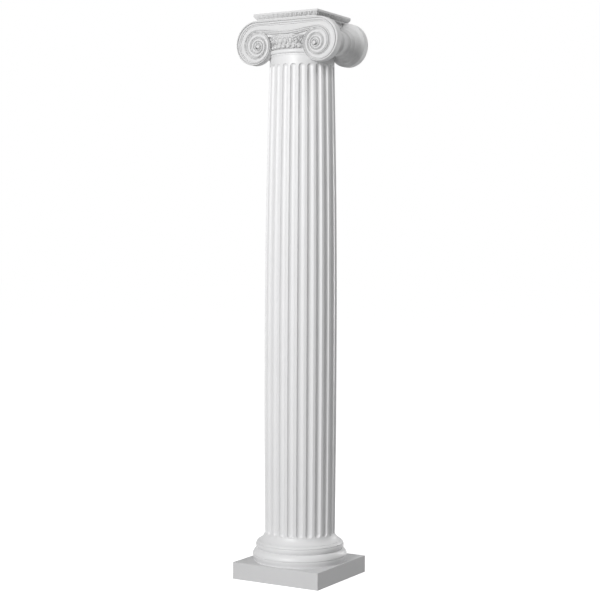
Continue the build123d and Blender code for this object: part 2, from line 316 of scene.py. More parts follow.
def arc_between(start, middle, end, count):
    """Points on the circle through three points of a section, from the first to the last."""
    (ax, ay), (bx, by), (cx, cy) = start, middle, end
    d = 2 * (ax * (by - cy) + bx * (cy - ay) + cx * (ay - by))
    ux = ((ax**2 + ay**2) * (by - cy) + (bx**2 + by**2) * (cy - ay) + (cx**2 + cy**2) * (ay - by)) / d
    uy = ((ax**2 + ay**2) * (cx - bx) + (bx**2 + by**2) * (ax - cx) + (cx**2 + cy**2) * (bx - ax)) / d
    radius = hypot(ax - ux, ay - uy)
    first = atan2(ay - uy, ax - ux)
    last = atan2(cy - uy, cx - ux)
    turn = (last - first + pi) % (2 * pi) - pi
    return [
        (ux + radius * cos(first + turn * step / count), uy + radius * sin(first + turn * step / count))
        for step in range(count + 1)
    ]


def smooth_step(value):
    """From 0 to 1 with no kink at either end."""
    value = np.clip(value, 0, 1)
    return value * value * (3 - 2 * value)


# Finish

# Noise scales of the slow changes of colour and of the fine grain
CLOUD_SCALE = 3.0
GRAIN_SCALE = 60.0

# Height of the grain, in metres, and how far it moves the roughness
CAST_GRAIN = 0.0004
PAINT_GRAIN = 0.0003
SHEEN_SPREAD = 0.06


def white_finish(name, colour, roughness, settings, grain):
    """White paint or casting: a slightly uneven colour, a satin sheen and a faint grain."""
    material = bpy.data.materials.new(name)
    material.use_nodes = True
    nodes = material.node_tree.nodes
    links = material.node_tree.links
    shader = nodes["Principled BSDF"]
    shader.inputs["IOR"].default_value = 1.47
    place = nodes.new("ShaderNodeTexCoord")
    cloud = nodes.new("ShaderNodeTexNoise")
    cloud.inputs["Scale"].default_value = CLOUD_SCALE
    cloud.inputs["Detail"].default_value = 4.0
    tone = nodes.new("ShaderNodeMix")
    tone.data_type = "RGBA"
    low = 1 - settings.tone
    tone.inputs[6].default_value = (*[part * low for part in colour], 1)
    tone.inputs[7].default_value = (*[min(1, part * (2 - low)) for part in colour], 1)
    links.new(place.outputs["Object"], cloud.inputs["Vector"])
    links.new(cloud.outputs["Fac"], tone.inputs[0])
    links.new(tone.outputs[2], shader.inputs["Base Color"])
    speck = nodes.new("ShaderNodeTexNoise")
    speck.inputs["Scale"].default_value = GRAIN_SCALE
    speck.inputs["Detail"].default_value = 3.0
    links.new(place.outputs["Object"], speck.inputs["Vector"])
    sheen = nodes.new("ShaderNodeMapRange")
    sheen.inputs["To Min"].default_value = roughness - SHEEN_SPREAD
    sheen.inputs["To Max"].default_value = roughness + SHEEN_SPREAD
    links.new(speck.outputs["Fac"], sheen.inputs["Value"])
    links.new(sheen.outputs["Result"], shader.inputs["Roughness"])
    bump = nodes.new("ShaderNodeBump")
    bump.inputs["Strength"].default_value = 0.25
    bump.inputs["Distance"].default_value = grain
    links.new(speck.outputs["Fac"], bump.inputs["Height"])
    links.new(bump.outputs["Normal"], shader.inputs["Normal"])
    return material


def finish_named(name):
    """The material of a piece, made the first time that it is asked for."""
    found = bpy.data.materials.get(name)
    if found:
        return found
    settings = bpy.context.scene.column_finish
    colour, roughness, grain = {
        "cast_white": (settings.casting, settings.casting_roughness, CAST_GRAIN),
        "primed_white": (settings.primer, settings.casting_roughness, CAST_GRAIN),
        "satin_white": (settings.paint, settings.paint_roughness, PAINT_GRAIN),
    }[name]
    return white_finish(name, colour, roughness, settings, grain)


# Plinth


class COLUMN_OT_finish_plinth(bpy.types.Operator):
    """Paint the square plinth"""

    bl_idname = "column.finish_plinth"
    bl_label = "Finish plinth"

    def execute(self, context):
        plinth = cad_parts["plinth"]
        plinth.data.materials.clear()
        plinth.data.materials.append(finish_named("primed_white"))
        return {"FINISHED"}


# Base moulding

# How near a roll's own points come to its fine line, in the line's half widths
LINE_CLEAR = 1.3


def roll_section(crown, bulge, middle, low, high, line, settings):
    """Points up a roll whose section is an arc, with a fine line cut in it."""

    def radius_at(z):
        return crown - bulge + sqrt(max(0, bulge**2 - (z - middle) ** 2))

    heights = [z for z in np.linspace(low, high, 17) if abs(z - line) > settings.line_width * LINE_CLEAR]
    points = [(radius_at(z), z) for z in heights]
    for shift, depth in ((-1, 0), (0, 1), (1, 0)):
        z = line + shift * settings.line_width
        points.append((radius_at(z) - depth * settings.line_depth, z))
    return sorted(points, key=lambda point: point[1])


def base_section(settings, bore):
    """The section of the base moulding, from its foot up and back down the bore."""
    z0 = plinth_top
    z1 = z0 + settings.foot_height
    z2 = z1 + settings.lower_height
    z3 = base_top
    lower_core = settings.lower_crown - settings.lower_bulge
    upper_core = settings.upper_crown - settings.upper_bulge
    lower_middle = z1 + sqrt(settings.lower_bulge**2 - (settings.foot_radius - lower_core) ** 2)
    crease = lower_core + sqrt(settings.lower_bulge**2 - (z2 - lower_middle) ** 2)
    upper_middle = z2 + sqrt(settings.upper_bulge**2 - (crease - upper_core) ** 2)
    lower = roll_section(
        settings.lower_crown, settings.lower_bulge, lower_middle, z1, z2, z1 + settings.lower_line, settings
    )
    upper = roll_section(
        settings.upper_crown, settings.upper_bulge, upper_middle, z2, z3, z2 + settings.upper_line, settings
    )
    return [(settings.foot_radius, z0), *lower, *upper[1:], (bore, z3), (bore, z0)]


class COLUMN_OT_turn_base(bpy.types.Operator):
    """Turn the moulding of two rolls under the shaft"""

    bl_idname = "column.turn_base"
    bl_label = "Turn base"

    def execute(self, context):
        shaft = context.scene.column_shaft
        section = base_section(context.scene.column_base, shaft.foot_radius - shaft.wall)
        angles = np.linspace(ARC_FROM, ARC_TO, 181)
        carving = Carving()
        open_ring(carving, np.array([on_ring(angle, section) for angle in angles]))
        carving.build("base_rolls", "satin_white", "base_moulding")
        return {"FINISHED"}


# Shaft

# Height of plain shaft between the tips of the flutes and the next row of points
PLAIN_GAP = 0.006


def shaft_radius(z, settings):
    """Radius of the shaft over the flutes: it swells to the belly and tapers to the neck."""
    rise = z - base_top
    high = shaft_top - base_top - settings.fillet_height - settings.ring_height
    if rise < settings.belly_height:
        share = (settings.belly_height - rise) / (settings.belly_height - settings.flare_height)
        return settings.belly_radius - (settings.belly_radius - settings.foot_radius) * share**2
    share = (rise - settings.belly_height) / (high - settings.belly_height)
    return settings.belly_radius - (settings.belly_radius - settings.neck_radius) * share**2


def flute_at(z, ends, settings):
    """Distance of a flute's centre from the axis and its radius at a height, or None beyond its ends."""
    radius = shaft_radius(z, settings)
    share = radius / settings.belly_radius
    hollow = settings.flute_radius * share
    place = radius + (settings.flute_radius - settings.flute_depth) * share
    low, high = ends
    beyond = max(0, low - z, z - high)
    if beyond >= hollow:
        return None
    hollow = sqrt(hollow**2 - beyond**2)
    if hollow < place - radius - 1e-9:
        return None
    return place, hollow


def half_angle(place, hollow, radius):
    """Half the angle that a flute takes of the shaft's round."""
    return np.arccos(min(1, (radius**2 + place**2 - hollow**2) / (2 * radius * place)))


def flute_angles(opening, settings):
    """Angles of the shaft's columns of points, with the flutes' edges on them."""
    pitch = 2 * pi / settings.flutes
    across = np.linspace(-1, 1, 15)
    between = np.linspace(0, 1, 5)[1:-1]
    kept = settings.flutes * 3 // 4
    angles = []
    offsets = []
    for flute in range(kept + 1):
        centre = ARC_FROM + pitch * flute
        for part in across:
            angles.append(centre + part * opening)
            offsets.append(part * opening)
        for part in between:
            angles.append(centre + opening + part * (pitch - 2 * opening))
            offsets.append(None)
    first = len(across) // 2
    last = kept * (len(across) + len(between)) + first
    return angles[first : last + 1], offsets[first : last + 1]


def shaft_rows(settings):
    """Heights of the rows of points up the fluted part, closer together at the flutes' round ends."""
    low_tip = base_top + settings.flare_height - settings.flute_foot_run
    high_tip = shaft_top - settings.ring_height - settings.fillet_height - settings.flute_neck_gap
    rows = [base_top + settings.flare_height]
    spans = []
    for tip in (low_tip, high_tip):
        share = shaft_radius(tip, settings) / settings.belly_radius
        hollow = settings.flute_radius * share
        stand = hollow - settings.flute_depth * share
        spans.append((hollow, sqrt(hollow**2 - stand**2)))
    ends = (low_tip + spans[0][1], high_tip - spans[1][1])
    steps = np.linspace(0, 1, 13)
    for step in steps:
        angle = (1 - step) * np.arcsin(spans[0][1] / spans[0][0])
        rows.append(ends[0] - spans[0][0] * sin(angle))
    rows.extend(np.linspace(ends[0], ends[1], 42)[1:-1])
    for step in steps:
        angle = step * np.arcsin(spans[1][1] / spans[1][0])
        rows.append(ends[1] + spans[1][0] * sin(angle))
    rows.extend([high_tip + PLAIN_GAP, shaft_top - settings.ring_height - settings.fillet_height])
    return rows, ends, (low_tip, high_tip)


def shaft_grid(settings):
    """Points of the shaft's columns: up the outside, over the top and down the bore."""
    rows, ends, tips = shaft_rows(settings)
    belly = base_top + settings.belly_height
    place, hollow = flute_at(belly, ends, settings)
    plain = half_angle(place, hollow, settings.belly_radius)
    z0 = base_top
    z1 = z0 + settings.flare_height
    spread = settings.flare_radius - settings.foot_radius
    bend = settings.flare_hollow / hypot(spread, settings.flare_height)
    middle = (settings.foot_radius + spread / 2 - bend * settings.flare_height, (z0 + z1) / 2 - bend * spread)
    flare = arc_between((settings.flare_radius, z0), middle, (settings.foot_radius, z1), 16)[1:-1]
    flare.insert(0, (settings.flare_radius - settings.foot_groove, z0))
    z3 = shaft_top - settings.ring_height
    edge = settings.ring_radius - settings.ring_height / 4
    ring = arc_between((edge, z3), (settings.ring_radius, (z3 + shaft_top) / 2), (edge, shaft_top), 10)
    neck_bore = settings.neck_radius - settings.wall
    foot_bore = settings.foot_radius - settings.wall
    above = [
        (settings.fillet_radius, z3 - settings.fillet_height),
        (settings.fillet_radius, z3 - settings.neck_groove),
        (settings.fillet_radius - settings.neck_groove, z3 - settings.neck_groove / 2),
        *ring,
        (neck_bore, shaft_top),
        (neck_bore, z3 - settings.fillet_height),
        (settings.belly_radius - settings.wall, belly),
        (foot_bore, z1),
        (foot_bore, z0),
    ]
    plain_angles, _ = flute_angles(plain, settings)
    lines = [[(radius * cos(a), radius * sin(a), z) for a in plain_angles] for radius, z in flare]
    for z in rows:
        radius = shaft_radius(z, settings)
        found = flute_at(z, ends, settings)
        tip = min(abs(z - tips[0]), abs(z - tips[1])) < 1e-7
        if found is None and not tip:
            lines.append([(radius * cos(a), radius * sin(a), z) for a in plain_angles])
            continue
        opening = 0.0 if tip else half_angle(*found, radius)
        angles, offsets = flute_angles(opening, settings)
        line = []
        for angle, offset in zip(angles, offsets):
            reach = radius
            if offset is not None and not tip:
                place, hollow = found
                reach = place * cos(offset) - sqrt(max(0, hollow**2 - (place * sin(offset)) ** 2))
            line.append((reach * cos(angle), reach * sin(angle), z))
        lines.append(line)
    lines.extend([(radius * cos(a), radius * sin(a), z) for a in plain_angles] for radius, z in above)
    return np.array(lines).transpose(1, 0, 2)


class COLUMN_OT_flute_shaft(bpy.types.Operator):
    """Turn the swelling shaft and cut its flutes"""

    bl_idname = "column.flute_shaft"
    bl_label = "Flute shaft"

    def execute(self, context):
        carving = Carving()
        open_ring(carving, shaft_grid(context.scene.column_shaft))
        carving.build("fluted_shaft", "satin_white", "shaft")
        return {"FINISHED"}


# Scrolls

# Rows of points in one turn of a scroll
TURN_ROWS = 76

# Share of the carving's depth that is left at the eye, and how fast it fades towards it
EYE_DEPTH = 0.3
DEPTH_FADE = 0.6

# Depth behind the lower border, as a share of the relief
BORDER_BACK = 1.1

# Depth of a rim's last row of points before its back edge
RIM_EDGE = 0.0015

# Share of a turn's size, from its outer edge inwards, with the depth there as a share of the relief
RIB = [
    (1.0, 0.6), (0.992, 0.3), (0.98, 0.1), (0.965, 0.0), (0.945, 0.03), (0.94, 0.9), (0.922, 1.15),
    (0.904, 0.9), (0.899, 0.06), (0.885, 0.0), (0.866, 0.0), (0.857, 0.08), (0.848, 0.7),
]
CHANNEL = [
    (0.03, 0.85), (0.1, 0.62), (0.16, 0.62), (0.18, 1.2), (0.36, 1.15), (0.55, 1.12), (0.71, 1.05),
    (0.74, 1.15), (0.77, 0.5), (0.82, 0.42), (0.88, 0.5), (0.9, 1.2), (0.955, 1.25), (0.985, 1.1),
]


class Scroll:
    """The right scroll of the front, as points in (x, z) with depths behind the face."""

    def __init__(self, settings):
        self.settings = settings
        self.top = column_top - bpy.context.scene.column_slab.height
        self.eye = (settings.eye_spread / 2, self.top - settings.eye_drop)
        angle = pi / 2
        for _ in range(8):
            angle = pi / 2 + settings.decay / (2 * pi) * (sin(angle) + settings.lean_up)
        self.start = (pi / 2 - angle) / (2 * pi)
        self.size = settings.eye_drop / (exp(-settings.decay * self.start) * (sin(angle) + settings.lean_up))
        self.coil = exp(-settings.decay)

    def point(self, turn, share=1.0):
        """A point of the spiral, at a share of its size there."""
        angle = pi / 2 - 2 * pi * turn
        size = share * self.size * exp(-self.settings.decay * turn)
        return (
            self.eye[0] + size * (cos(angle) + self.settings.lean_out),
            self.eye[1] + size * (sin(angle) + self.settings.lean_up),
        )

    def depth_scale(self, turn):
        """The carving grows shallower towards the eye."""
        return EYE_DEPTH + (1 - EYE_DEPTH) * exp(-DEPTH_FADE * max(0, turn - self.start))

    def shares(self):
        """Shares and depths across one turn, from its outer edge to the next turn's."""
        floor_from = RIB[-1][0]
        across = [(floor_from + (self.coil - floor_from) * part, depth) for part, depth in CHANNEL]
        return RIB + across

    def set_back(self, x, z, depth):
        """A point of the front, a depth behind its face."""
        return (x, -(self.settings.face_depth - depth), z)

    def coils(self):
        """The winding rib and channel, from the straight part in to the eye."""
        relief = self.settings.relief
        rows = []
        for turn in np.linspace(self.start, self.settings.turns, ceil(TURN_ROWS * self.settings.turns)):
            scale = relief * self.depth_scale(turn)
            row = [self.set_back(*self.point(turn, share), depth * scale) for share, depth in self.shares()]
            inner = relief * self.depth_scale(turn + 1) * RIB[0][1]
            row.append(self.set_back(*self.point(turn + 1), inner))
            rows.append(row)
        return np.array(rows)

    def border_height(self, share, part):
        """Height of a line of the lower border, from the scroll at part 0 to the middle at part 1."""
        settings = self.settings
        right = self.point(self.start + 1, share)[1]
        fall = (1 - share) / (1 - RIB[-1][0])
        middle = self.top - settings.channel_sag - settings.border * fall
        return right + (middle - right) * smooth_step(part)

    def channel(self):
        """The straight channel and its lower border, from the middle to the scroll."""
        relief = self.settings.relief
        shares = self.shares()
        first_scale = self.depth_scale(self.start + 1)
        rows = []
        for step in np.linspace(0, 1, 49):
            part = 1 - step
            row = []
            for index, (share, depth) in enumerate(shares):
                x, z = self.point(self.start, share)
                if index >= len(RIB):
                    sunk = (RIB[-1][0] - share) / (RIB[-1][0] - self.coil)
                    fall = self.point(self.start + 1)[1] - self.border_height(1.0, part)
                    z -= sunk * fall
                row.append(self.set_back(x * step, z, depth * relief))
            scale = first_scale + (1 - first_scale) * smooth_step(part)
            for share, depth in RIB:
                x = self.point(self.start + 1, share)[0]
                row.append(self.set_back(x * step, self.border_height(share, part), depth * scale * relief))
            x, z = row[-1][0], row[-1][2]
            row.append(self.set_back(x, z, relief * BORDER_BACK))
            rows.append(row)
        return np.array(rows)

    def leaving_turn(self):
        """Turn at which the border's lower line leaves the scroll's outer edge."""
        low = RIB[-1][0]
        right = self.point(self.start + 1, low)[0]
        for turn in np.linspace(self.start + 0.6, self.start + 1, 400):
            x, z = self.point(turn)
            if z > self.border_height(low, 1 - min(1, x / right)):
                return turn
        return self.start + 1

    def outline(self):
        """Outer edge of the right half: along the top, round the scroll and along the lower border."""
        edge = [(0.0, self.top), (self.point(self.start)[0] / 2, self.top)]
        leaving = self.leaving_turn()
        edge += [self.point(turn) for turn in np.linspace(self.start, leaving, 90)]
        low = RIB[-1][0]
        right = self.point(self.start + 1, low)[0]
        last = edge[-1][0]
        for step in np.linspace(1, 0, 31)[1:]:
            x = last * step
            edge.append((x, float(self.border_height(low, 1 - x / right))))
        return edge

    def eye_button(self):
        """The domed eye, standing a little before the face."""
        settings = self.settings
        rows = []
        for step in np.linspace(0, 1, 9):
            radius = settings.eye_radius * cos(step * pi / 2) ** 0.6
            stand = settings.eye_stand * sin(step * pi / 2)
            stand = stand if step else -settings.relief * RIB[0][1]
            rows.append([
                self.set_back(self.eye[0] + radius * cos(a), self.eye[1] + radius * sin(a), -stand)
                for a in np.linspace(0, 2 * pi, 33)[:-1]
            ])
        return np.array(rows)

    def half(self, carving, mirror_x=1, mirror_y=1, closed=False):
        """The right half of the carved face, with its rim and back, put where the mirrors say."""
        mirror = np.array([mirror_x, mirror_y, 1.0])
        settings = self.settings
        carving.sheet(self.coils() * mirror)
        channel = self.channel()
        carving.sheet(channel * mirror)
        carving.sheet(self.eye_button() * mirror, wrap=True)
        edge = self.outline()
        front = [self.set_back(x, z, RIB[0][1] * settings.relief) for x, z in edge]
        back = [self.set_back(x, z, settings.rim_depth) for x, z in edge]
        near = [self.set_back(x, z, settings.rim_depth - RIM_EDGE) for x, z in edge]
        carving.sheet(np.array([front, near, back]) * mirror)
        carving.cap(np.array(back) * mirror)
        if closed:
            section = [*channel[0], back[-1], back[0]]
            carving.cap(np.array(section) * mirror)


class COLUMN_OT_carve_scrolls(bpy.types.Operator):
    """Carve the scrolls with their channels and eyes, on the front and on the kept half of the back"""

    bl_idname = "column.carve_scrolls"
    bl_label = "Carve scrolls"

    def execute(self, context):
        scroll = Scroll(context.scene.column_scroll)
        front = Carving()
        scroll.half(front)
        scroll.half(front, mirror_x=-1)
        front.build_cast("front_scrolls")
        back = Carving()
        scroll.half(back, mirror_y=-1, closed=True)
        back.build_cast("back_scroll")
        return {"FINISHED"}


# Ringed sides between the front and back scrolls

# Share of the belt that is flat, and how late the sides swell to the rim
BELT_FLAT = 0.8
RIM_SWELL = 1.5


def rim_reach(scroll, centre, angles):
    """Distance from the side's own axis to the scroll's outer edge, at angles round it."""
    turns = np.linspace(scroll.start, scroll.leaving_turn(), 200)
    edge = np.array([scroll.point(turn) for turn in turns]) - np.array(centre)
    bearing = np.unwrap(np.arctan2(edge[:, 1], edge[:, 0]))
    reach = np.hypot(edge[:, 0], edge[:, 1])
    order = np.argsort(bearing)
    low, high = bearing[order][0], bearing[order][-1]
    bearing = np.concatenate([bearing[order], [low + 2 * pi]])
    reach = np.concatenate([reach[order], [reach[order][0]]])
    shifted = (angles - low) % (2 * pi) + low
    return np.interp(shifted, bearing, reach)


def side_rings(settings):
    """Shares of the way from the belt to the rim, with the depth of the hollow rings there."""
    rows = [(0.0, 0.0)]
    for ring in range(settings.rings):
        for step in np.linspace(0, 1, 9)[1:]:
            share = (ring + step) / settings.rings
            rows.append((share, settings.ring_depth * sin(pi * step) ** 0.8))
    return rows


def side_half(scroll, settings, side):
    """Grid of the ringed side from the waist's middle to the back of the front rim."""
    centre = (scroll.eye[0] + settings.side_out, scroll.eye[1] + settings.side_up)
    angles = np.linspace(0, 2 * pi, 97)[:-1]
    rim = rim_reach(scroll, centre, angles)
    half = settings.face_depth - settings.rim_depth
    belt = settings.belt / 2
    waist = np.full(len(angles), settings.waist_radius)
    rounds = [(y, waist + settings.belt_stand) for y in (0.0, belt * BELT_FLAT)]
    for share, depth in side_rings(settings):
        swell = share**RIM_SWELL
        rounds.append((belt + (half - belt) * share, waist * (1 - swell) + rim * swell - depth))
    grid = np.array([
        [(centre[0] + r * cos(a), -y, centre[1] + r * sin(a)) for r, a in zip(reach, angles)]
        for y, reach in rounds
    ])
    grid[:, :, 0] *= side
    return grid


class COLUMN_OT_turn_sides(bpy.types.Operator):
    """Turn the waisted, ringed sides that join the scrolls from front to back"""

    bl_idname = "column.turn_sides"
    bl_label = "Turn sides"

    def execute(self, context):
        settings = context.scene.column_scroll
        scroll = Scroll(settings)
        carving = Carving()
        right = side_half(scroll, settings, 1)
        carving.sheet(right, wrap=True)
        carving.sheet(right * np.array([1, -1, 1]), wrap=True)
        left = side_half(scroll, settings, -1)
        left[0, :, 1] = -SIDE_SINK
        carving.sheet(left, wrap=True)
        carving.cap(left[0])
        carving.build_cast("ringed_sides")
        return {"FINISHED"}


# Bell with its beads and eggs

# Height of the small steps in the bell's grooves
BELL_EDGE = 0.0005

# An ornament this near to the end of the round, in radians, is cut by the rear cut face
NEAR_CUT = 0.2

# Places of the reels beside each bead, and their section as shares of the bead's radius with offsets
REEL_PLACES = (0.0098, 0.0128)
REEL_SECTION = [(0.0, -0.0011), (0.72, -0.0009), (0.8, 0.0), (0.72, 0.0009), (0.0, 0.0011)]
REEL_AXLE = 0.0003

# A dart: half width at its point, what it gains upwards and what it loses again towards the lip
DART_POINT = 0.0004
DART_SPREAD = 0.0026
DART_TAPER = 0.0008

# A dart's stand off the bell at its point, what it gains upwards, and how deep its edges are rooted
DART_FOOT_STAND = 0.0006
DART_STAND = 0.0022
DART_ROOT = 0.004

# Height of the darts' points over the foot of the egg band
DART_LIFT = 0.003

# Tips of a corner half palmette's leaves: distance from the middle and height over the band's foot
LEAF_TIPS = [(0.036, 0.033), (0.038, 0.022), (0.045, 0.012), (0.055, 0.005), (0.067, 0.002)]

# Section of a leaf: place across it in half widths, and stand off the head of the egg band
LEAF_SECTION = [(-1.0, -0.008), (-0.7, -0.001), (0.0, 0.003), (0.7, -0.001), (1.0, -0.008)]
LEAF_POINT = 0.0002


def bell_radius(z, settings, foot, head):
    """Radius of the egg band's swelling face at a height."""
    swell = sin((z - foot) / (head - foot) * pi / 2) ** 1.2
    return settings.foot_radius + (settings.head_radius - settings.foot_radius) * swell


def lip_swell(drop, settings):
    """How far the lip stands out at a depth under the band's head."""
    share = drop / settings.lip_height
    return settings.lip_stand * sin(pi * share) if share < 1 else 0.0


def egg_centre(settings):
    """Height of an egg's widest place over the foot of the band."""
    return settings.egg_drop + 2 * settings.egg_frame


def niche_width(rise, settings):
    """Half the width of the hollow round an egg, at a height over the egg's widest place."""
    reach = settings.egg_frame + (settings.egg_radius if rise > 0 else settings.egg_drop)
    return (settings.egg_radius + settings.egg_frame) * sqrt(max(0, 1 - (rise / reach) ** 2))


def bell_grid(settings, bore):
    """Points of the bell's columns, with a hollow niche behind every egg."""
    z0 = shaft_top
    z1 = z0 + settings.foot_height
    z2 = z1 + 2 * settings.bead_radius
    z3 = z2 + settings.height
    groove = settings.seat_radius - settings.seat_groove
    recess = settings.seat_radius - settings.bead_recess
    pitch = 2 * pi / settings.eggs
    heights = np.linspace(z2, z3, 43)
    columns = []
    for angle in np.linspace(ARC_FROM, ARC_TO, 541):
        away = (angle - ARC_FROM + pitch / 2) % pitch - pitch / 2
        section = [(groove, z0), (groove, z1 - BELL_EDGE), (settings.seat_radius, z1)]
        section += [(recess, z1), (recess, z2 - BELL_EDGE)]
        for z in heights:
            radius = bell_radius(z, settings, z2, z3)
            across = abs(away) * radius
            width = niche_width(z - z2 - egg_centre(settings), settings)
            sunk = sqrt(max(0.0, width**2 - across**2)) * settings.niche_hollow
            section.append((radius - sunk + lip_swell(z3 - z, settings), z))
        section += [(bore, z3), (bore, z0)]
        columns.append(on_ring(angle, section))
    return np.array(columns)


def turned_shape(section, around):
    """Grid of a shape turned about the upright through its own origin, from (radius, height) points."""
    angles = np.linspace(0, 2 * pi, around + 1)[:-1]
    return np.array([[(r * cos(a), r * sin(a), z) for a in angles] for r, z in section])


def placed(grid, angle, distance, height):
    """A grid moved out from the axis, turned round it and kept out of the open quarter."""
    out = grid[..., 0] + distance
    aside = grid[..., 1]
    x = out * cos(angle) - aside * sin(angle)
    y = out * sin(angle) + aside * cos(angle)
    moved = np.stack([x, y, grid[..., 2] + height], -1)
    behind = (x < 0) & (y > 0)
    near_back = abs(angle - ARC_TO) < NEAR_CUT
    moved[..., 0][behind & near_back] = CUT_SINK
    moved[..., 1][behind & (not near_back)] = -CUT_SINK
    return moved


def egg_shape(settings):
    """An egg, round above and drawn out below."""
    section = []
    for step in np.linspace(0, 1, 19):
        z = settings.egg_radius - (settings.egg_radius + settings.egg_drop) * (1 - cos(step * pi)) / 2
        if z > 0:
            radius = sqrt(max(0, settings.egg_radius**2 - z**2))
        else:
            radius = settings.egg_radius * sqrt(max(0, 1 - (z / settings.egg_drop) ** 2)) ** 1.15
        section.append((max(radius, 1e-5), z))
    return turned_shape(section, 24)


def bead_shapes(settings):
    """A long bead lying along the round, with two thin reels beside it."""
    half = settings.bead_length / 2
    bead = [(settings.bead_radius * sin(a) ** 0.8, -half * cos(a)) for a in np.linspace(0.02, pi - 0.02, 17)]
    sections = [bead]
    for place in REEL_PLACES:
        sections.append([
            (max(REEL_AXLE, settings.bead_radius * share), place + offset) for share, offset in REEL_SECTION
        ])
    pieces = [turned_shape(section, 20) for section in sections]
    return [piece[..., [0, 2, 1]] for piece in pieces]


def dart_shape(settings):
    """A slim dart between two eggs, pointed at its foot."""
    rows = []
    height = settings.height - settings.lip_height - 2 * settings.egg_frame
    for step in np.linspace(0, 1, 9):
        half = DART_POINT + DART_SPREAD * smooth_step(step * 2.2) - DART_TAPER * step
        out = DART_FOOT_STAND + DART_STAND * smooth_step(step * 2)
        side = [(-DART_ROOT, half * 1.6), (out * 0.4, half)]
        section = [(stand, -aside) for stand, aside in side] + [(out, 0)] + side[::-1]
        rows.append([(stand, aside, height * step) for stand, aside in section])
    return np.array(rows)


def leaf_shape(tip, settings, foot):
    """One leaf of the right front half palmette, from its root beside the scroll to its tip."""
    root = np.array([settings.leaf_root, foot + settings.height - settings.lip_height / 2])
    tip = np.array([tip[0], foot + tip[1]])
    along = tip - root
    middle = (root + tip) / 2 + settings.leaf_bow * np.array([along[1], -along[0]])
    rows = []
    for step in np.linspace(0, 1, 15):
        centre = (1 - step) ** 2 * root + 2 * step * (1 - step) * middle + step**2 * tip
        ahead = (1 - step) * (middle - root) + step * (tip - middle)
        aside = np.array([-ahead[1], ahead[0]]) / hypot(*ahead)
        half = settings.leaf_width * sin(pi * (0.1 + 0.9 * step) ** 1.4) ** 0.7 if step < 1 else LEAF_POINT
        row = []
        for across, lift in LEAF_SECTION:
            x, z = centre + aside * half * across
            reach = settings.head_radius + lift
            row.append((x, -sqrt(reach**2 - x**2), z))
        rows.append(row)
    return np.array(rows)


class COLUMN_OT_carve_bell(bpy.types.Operator):
    """Turn the bell and carve its bead row, eggs, darts and leaves"""

    bl_idname = "column.carve_bell"
    bl_label = "Carve bell"

    def execute(self, context):
        settings = context.scene.column_bell
        shaft = context.scene.column_shaft
        bell = Carving()
        open_ring(bell, bell_grid(settings, shaft.neck_radius - shaft.wall))
        bell.build_cast("bell")
        bead_height = shaft_top + settings.foot_height + settings.bead_radius
        band_foot = bead_height + settings.bead_radius
        self.carve_eggs(settings, band_foot)
        self.carve_leaves(settings, band_foot)
        self.carve_beads(settings, bead_height)
        return {"FINISHED"}

    def carve_eggs(self, settings, foot):
        """Set the eggs in their niches, with a dart between each two."""
        ornament = Carving()
        egg = egg_shape(settings)
        dart = dart_shape(settings)
        pitch = 2 * pi / settings.eggs
        kept = settings.eggs * 3 // 4
        out = settings.head_radius - settings.egg_radius
        for step in range(kept + 1):
            grid = placed(egg, ARC_FROM + pitch * step, out, foot + egg_centre(settings))
            ornament.sheet(grid, wrap=True)
        for row, points in enumerate(dart):
            z = foot + DART_LIFT + points[0][2]
            dart[row, :, 0] += bell_radius(z, settings, foot, foot + settings.height)
        for step in range(kept):
            ornament.sheet(placed(dart, ARC_FROM + pitch * (step + 0.5), 0.0, foot + DART_LIFT))
        ornament.build_cast("eggs_and_darts")

    def carve_leaves(self, settings, foot):
        """Lay a half palmette in each kept corner between the bell and a scroll."""
        leaves = Carving()
        for tip in LEAF_TIPS:
            leaf = leaf_shape(tip, settings, foot)
            for mirror in ((1, 1, 1), (-1, 1, 1), (1, -1, 1)):
                leaves.sheet(leaf * np.array(mirror))
        leaves.build_cast("corner_leaves")

    def carve_beads(self, settings, height):
        """Thread the beads and their reels along the bell's recess."""
        row = Carving()
        pieces = bead_shapes(settings)
        pitch = 2 * pi / settings.beads
        for step in range(settings.beads * 3 // 4):
            for piece in pieces:
                angle = ARC_FROM + pitch * (step + 0.5)
                row.sheet(placed(piece, angle, settings.seat_radius, height), wrap=True)
        row.build_cast("bead_row")


# Carved slab and the block under it

# Distances between the columns of points along the slab's carved edge and along the block
CARVED_STEP = 0.0011
BLOCK_STEP = 0.004

# Length at each corner of the slab over which the carving fades out
CORNER_PLAIN = 0.004

# Size of the slab's small top bevel
SLAB_BEVEL = 0.0008

# How far the block reaches down into the bell, and its distance behind the scrolls' faces in reliefs
BLOCK_OVERLAP = 0.002
BLOCK_BACK = 1.5

# A tongue, with widths as shares of its pitch and heights as shares of the carved height
TONGUE_HALF = 0.36
TONGUE_ROUND = 0.45
OUTLINE_WIDTH = 0.08
MIDRIB_WIDTH = 0.06
MIDRIB_DEPTH = 0.7


def square_path(half_width, half_depth, spacing):
    """Points round the kept three quarters of a rectangle, and whether each lies on a side face."""
    corners = [(-1, 0), (-1, -1), (1, -1), (1, 1), (0, 1)]
    path = []
    for first, second in zip(corners, corners[1:]):
        span = hypot((second[0] - first[0]) * half_width, (second[1] - first[1]) * half_depth)
        steps = max(1, round(span / spacing))
        for step in range(steps):
            share = step / steps
            u = first[0] + (second[0] - first[0]) * share
            v = first[1] + (second[1] - first[1]) * share
            path.append((u, v, first[0] == second[0]))
    path.append((*corners[-1], False))
    return path


